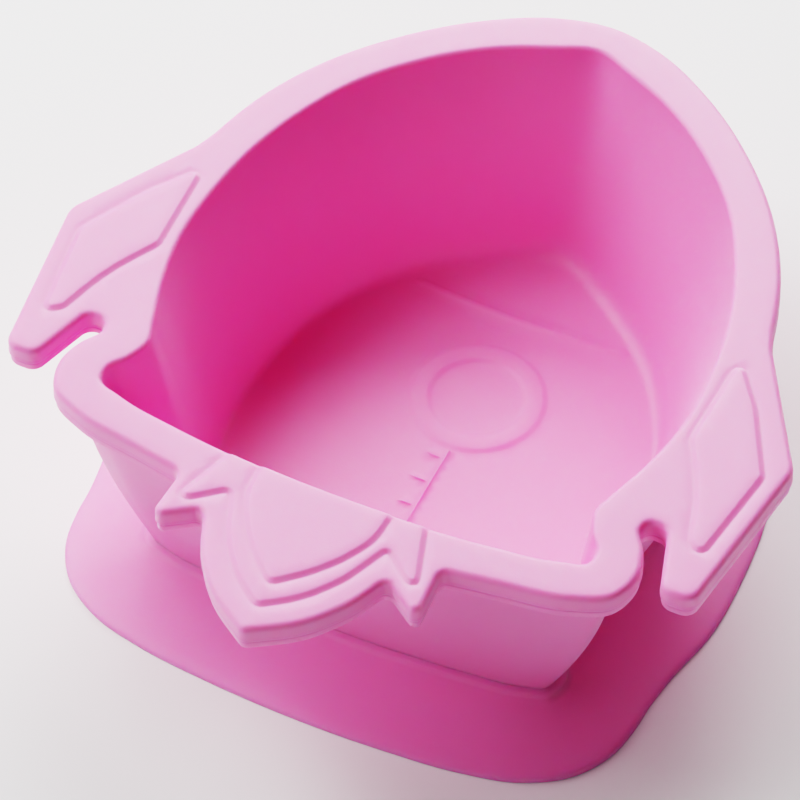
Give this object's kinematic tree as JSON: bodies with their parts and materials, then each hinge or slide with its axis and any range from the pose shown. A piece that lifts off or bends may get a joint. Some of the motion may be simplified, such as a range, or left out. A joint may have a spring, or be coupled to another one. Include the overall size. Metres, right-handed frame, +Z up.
{
  "type": "suction bowl",
  "caption": "Rocket-shaped silicone feeding bowl with a wide flat rim, side fins, a flame-shaped front tab, and a thin flexible suction skirt bonded under it.",
  "frame": {"origin": "bottom centre of the object's bounding box: on the tabletop, midway along and across", "axes": "+Y towards the rocket's nose, +X to the right fin, +Z up from the table"},
  "size_m": [0.1508, 0.1652, 0.052],
  "materials": {
    "bowl_silicone": "soft matte food-grade silicone, slightly translucent",
    "base_silicone": "soft matte food-grade silicone, thin and slightly translucent"
  },
  "bodies": {
    "base": {"suction_base": "base_silicone"},
    "bowl": {"bowl": "bowl_silicone"}
  },
  "joints": [
    {"name": "press_down", "type": "slide", "parent": "base", "child": "bowl", "axis": [0, 0, 1], "range_m": [-0.0015, 0], "stiffness_N_per_m": 6000, "springref_m": 0.0008, "deforming": ["suction_base"]}
  ]
}
